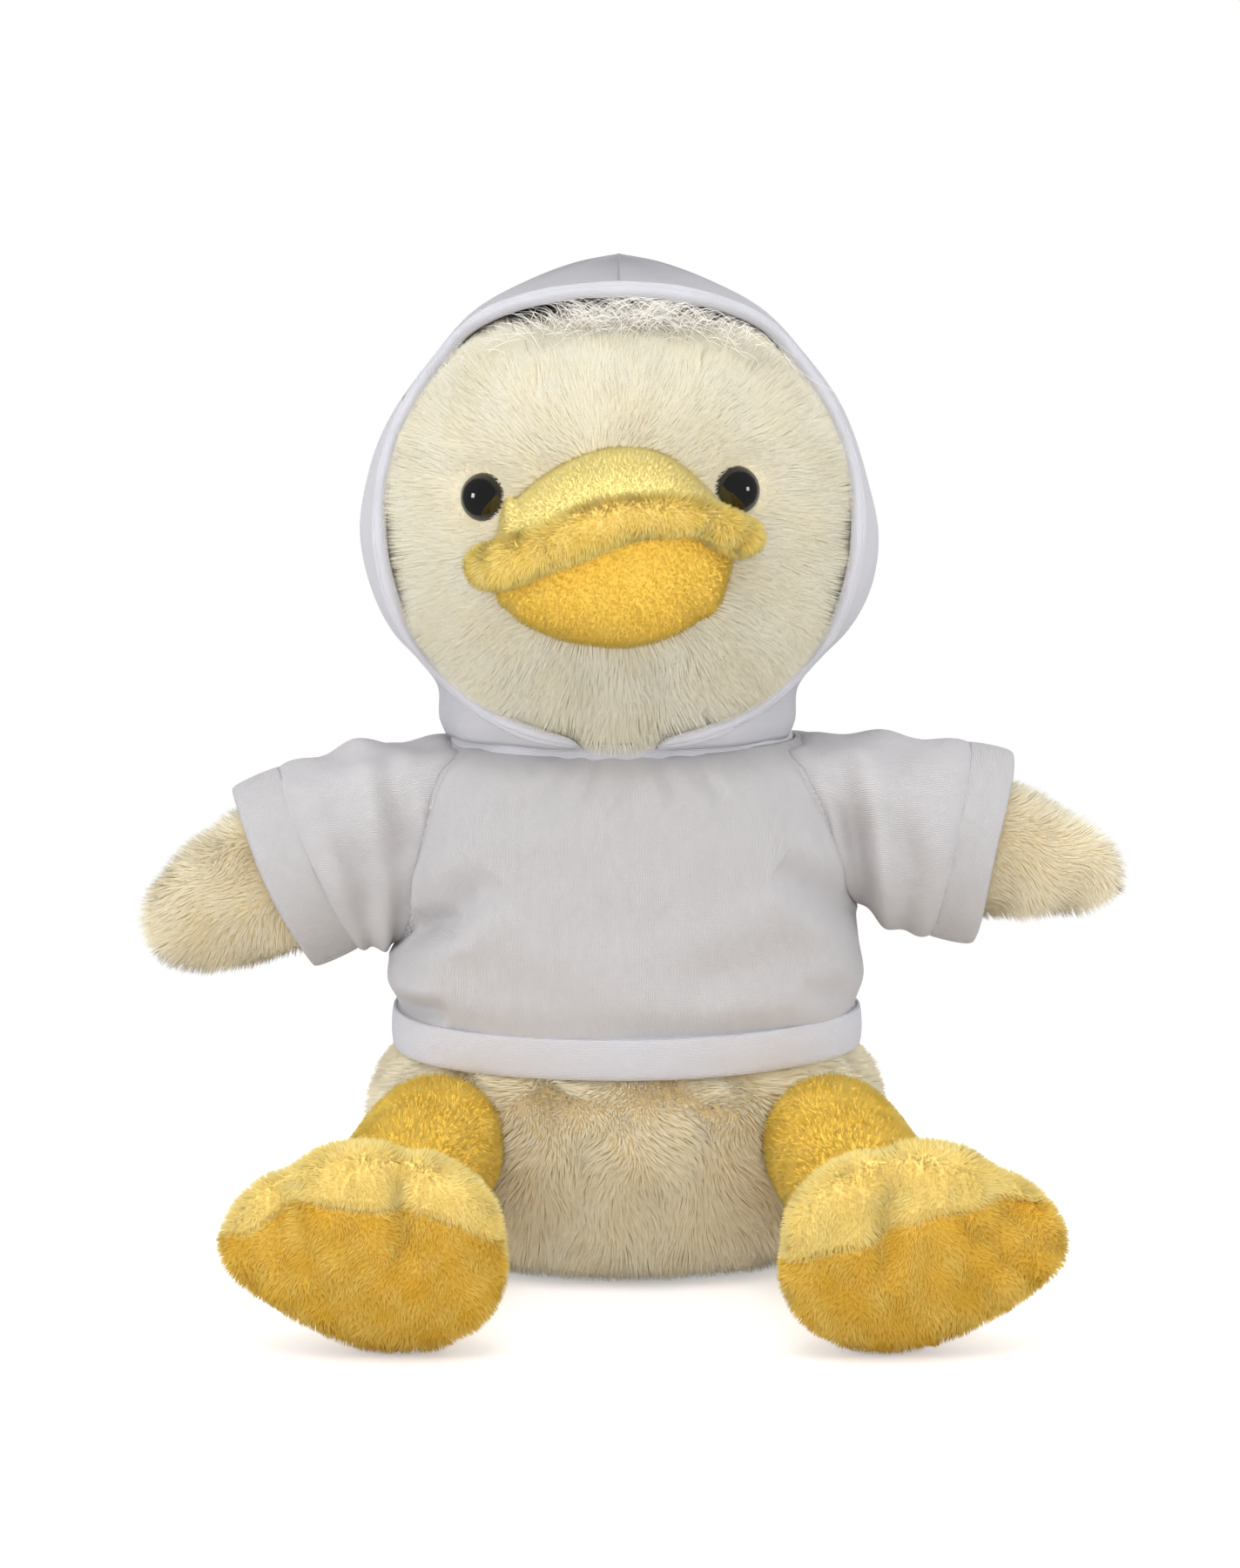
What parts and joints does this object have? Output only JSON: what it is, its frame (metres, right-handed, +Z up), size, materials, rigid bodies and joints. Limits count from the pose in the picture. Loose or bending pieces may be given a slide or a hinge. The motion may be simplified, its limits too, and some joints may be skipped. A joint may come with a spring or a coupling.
{
  "type": "plush duck",
  "caption": "Seated plush duck with a soft beak, safety eyes, stuffed wings and webbed feet, wearing a short-sleeved hooded jersey with the hood up.",
  "frame": {"origin": "middle of the flat seat that the duck sits on", "axes": "+Z up, the duck looks along -Y, its own left is +X"},
  "size_m": [0.1917, 0.1622, 0.1955],
  "materials": {
    "cream_pile": "long soft pile",
    "yellow_pile": "short soft pile",
    "sole_pile": "short soft pile",
    "white_knit": "fine single jersey knit",
    "fibre_filling": "loose polyester fibre",
    "eye_plastic": "polished",
    "washer_plastic": "moulded"
  },
  "bodies": {
    "torso": {"body_skin": "cream_pile", "body_filling": "fibre_filling", "tail": "cream_pile", "shirt_front": "white_knit", "shirt_back": "white_knit", "hem_band": "white_knit", "neck_band": "white_knit"},
    "head": {"head_skin": "cream_pile", "head_filling": "fibre_filling", "left_eye": "eye_plastic", "right_eye": "eye_plastic", "left_eye_washer": "washer_plastic", "right_eye_washer": "washer_plastic", "upper_beak": "yellow_pile", "lower_beak": "yellow_pile", "beak_lip": "yellow_pile", "hair_tuft": "cream_pile", "hood_left": "white_knit", "hood_right": "white_knit", "hood_band": "white_knit"},
    "left_wing": {"left_wing_skin": "cream_pile", "left_wing_filling": "fibre_filling", "left_sleeve": "white_knit", "left_cuff": "white_knit"},
    "right_wing": {"right_wing_skin": "cream_pile", "right_wing_filling": "fibre_filling", "right_sleeve": "white_knit", "right_cuff": "white_knit"},
    "left_leg": {"left_leg_skin": "yellow_pile", "left_leg_filling": "fibre_filling", "left_foot_upper": "yellow_pile", "left_foot_sole": "sole_pile", "left_foot_filling": "fibre_filling"},
    "right_leg": {"right_leg_skin": "yellow_pile", "right_leg_filling": "fibre_filling", "right_foot_upper": "yellow_pile", "right_foot_sole": "sole_pile", "right_foot_filling": "fibre_filling"}
  },
  "joints": [
    {"name": "head_turn", "type": "hinge", "parent": "torso", "child": "head", "pos_m": [-0.0016, -0.002, 0.103], "axis": [0, 0, 1], "range_deg": [-25, 25], "stiffness_Nm_per_rad": 0.15},
    {"name": "left_wing_flap", "type": "hinge", "parent": "torso", "child": "left_wing", "pos_m": [0.043, 0, 0.0855], "axis": [0, -1, 0], "range_deg": [-16, 47], "stiffness_Nm_per_rad": 0.12, "deforming": ["left_sleeve"]},
    {"name": "right_wing_flap", "type": "hinge", "parent": "torso", "child": "right_wing", "pos_m": [-0.043, 0, 0.0855], "axis": [0, 1, 0], "range_deg": [-8, 60], "stiffness_Nm_per_rad": 0.12, "deforming": ["right_sleeve"]},
    {"name": "left_leg_lift", "type": "hinge", "parent": "torso", "child": "left_leg", "pos_m": [0.0385, -0.036, 0.0285], "axis": [-1, 0, 0], "range_deg": [-10, 30], "stiffness_Nm_per_rad": 0.15},
    {"name": "right_leg_lift", "type": "hinge", "parent": "torso", "child": "right_leg", "pos_m": [-0.036, -0.036, 0.0285], "axis": [-1, 0, 0], "range_deg": [-10, 30], "stiffness_Nm_per_rad": 0.15}
  ]
}
